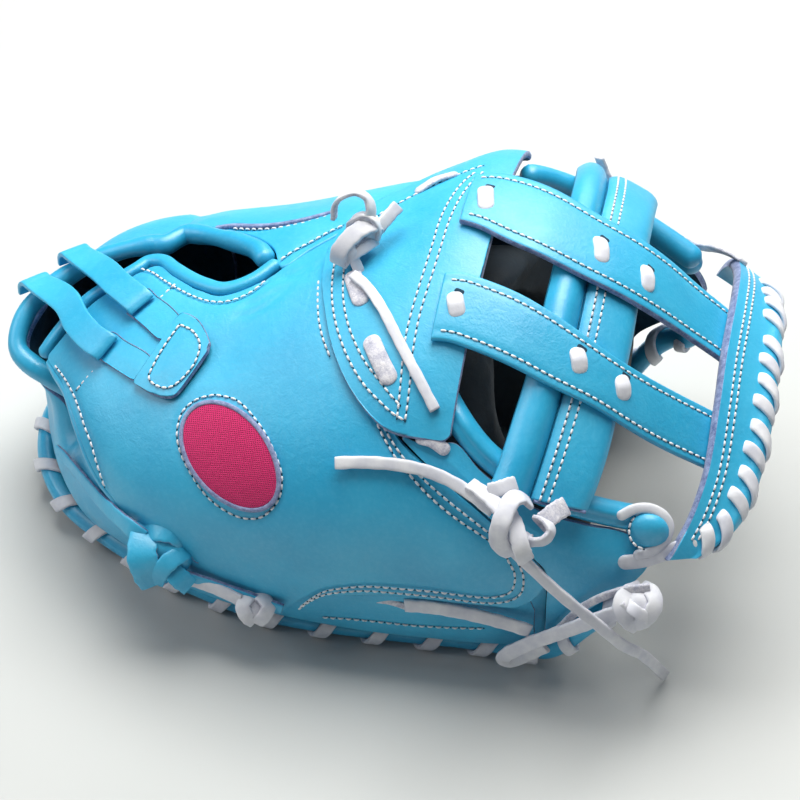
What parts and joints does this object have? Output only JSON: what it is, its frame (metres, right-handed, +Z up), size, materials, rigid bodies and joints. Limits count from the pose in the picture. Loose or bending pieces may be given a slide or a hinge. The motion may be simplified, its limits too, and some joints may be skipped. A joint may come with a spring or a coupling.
{
  "type": "softball catcher mitt",
  "caption": "Padded leather catching mitt for the left hand, with a laced rolled rim, a strap web between thumb and finger, a wrist tab with loops and free lace ends.",
  "frame": {"origin": "on the ground, under the middle of the whole mitt's box", "axes": "+X from the wrist to the tip of the web, +Y to the finger side, +Z up from the ground to the back of the mitt"},
  "size_m": [0.3475, 0.2189, 0.177],
  "materials": {
    "blue_leather": "soft satin light blue leather with a fine grain",
    "palm_leather": "soft matt leather over the palm's padding",
    "white_rawhide": "matt white rawhide lace with a rough cut edge",
    "patch_fabric": "plain pink woven fabric"
  },
  "bodies": {
    "root": {"palm_pad_thumb": "palm_leather", "palm_pad_finger": "palm_leather", "palm_pad_heel": "palm_leather", "thumb_shell": "blue_leather", "finger_shell": "blue_leather", "heel_panel": "blue_leather", "thumb_flange": "blue_leather", "thumb_lobe": "blue_leather", "finger_lobe": "blue_leather", "rim_binding": "blue_leather", "web_base_panel": "blue_leather", "web_strap_upper": "blue_leather", "web_strap_lower": "blue_leather", "web_crossbar_roll": "blue_leather", "web_crossbar_flat": "blue_leather", "web_crown": "blue_leather", "crown_roll": "blue_leather", "opening_binding": "blue_leather", "wrist_roll": "blue_leather", "thumb_tip_roll": "blue_leather", "finger_tip_roll_outer": "blue_leather", "finger_tip_roll_inner": "blue_leather", "wrist_tab": "blue_leather", "wrist_loop_upper": "blue_leather", "wrist_loop_lower": "blue_leather", "heel_knot": "blue_leather", "heel_tail": "blue_leather", "oval_patch": "patch_fabric", "rim_lace": "white_rawhide", "crown_lace": "white_rawhide", "panel_knot": "white_rawhide", "panel_pass_upper": "white_rawhide", "panel_pass_middle": "white_rawhide", "crossbar_knot": "white_rawhide", "tip_lace": "white_rawhide", "rim_knot": "white_rawhide", "finger_tip_lace": "white_rawhide", "crossbar_far_lace": "white_rawhide", "heel_lace": "white_rawhide", "panel_tail": "white_rawhide", "crossbar_tail_left": "white_rawhide", "crossbar_tail_right": "white_rawhide"}
  },
  "joints": []
}
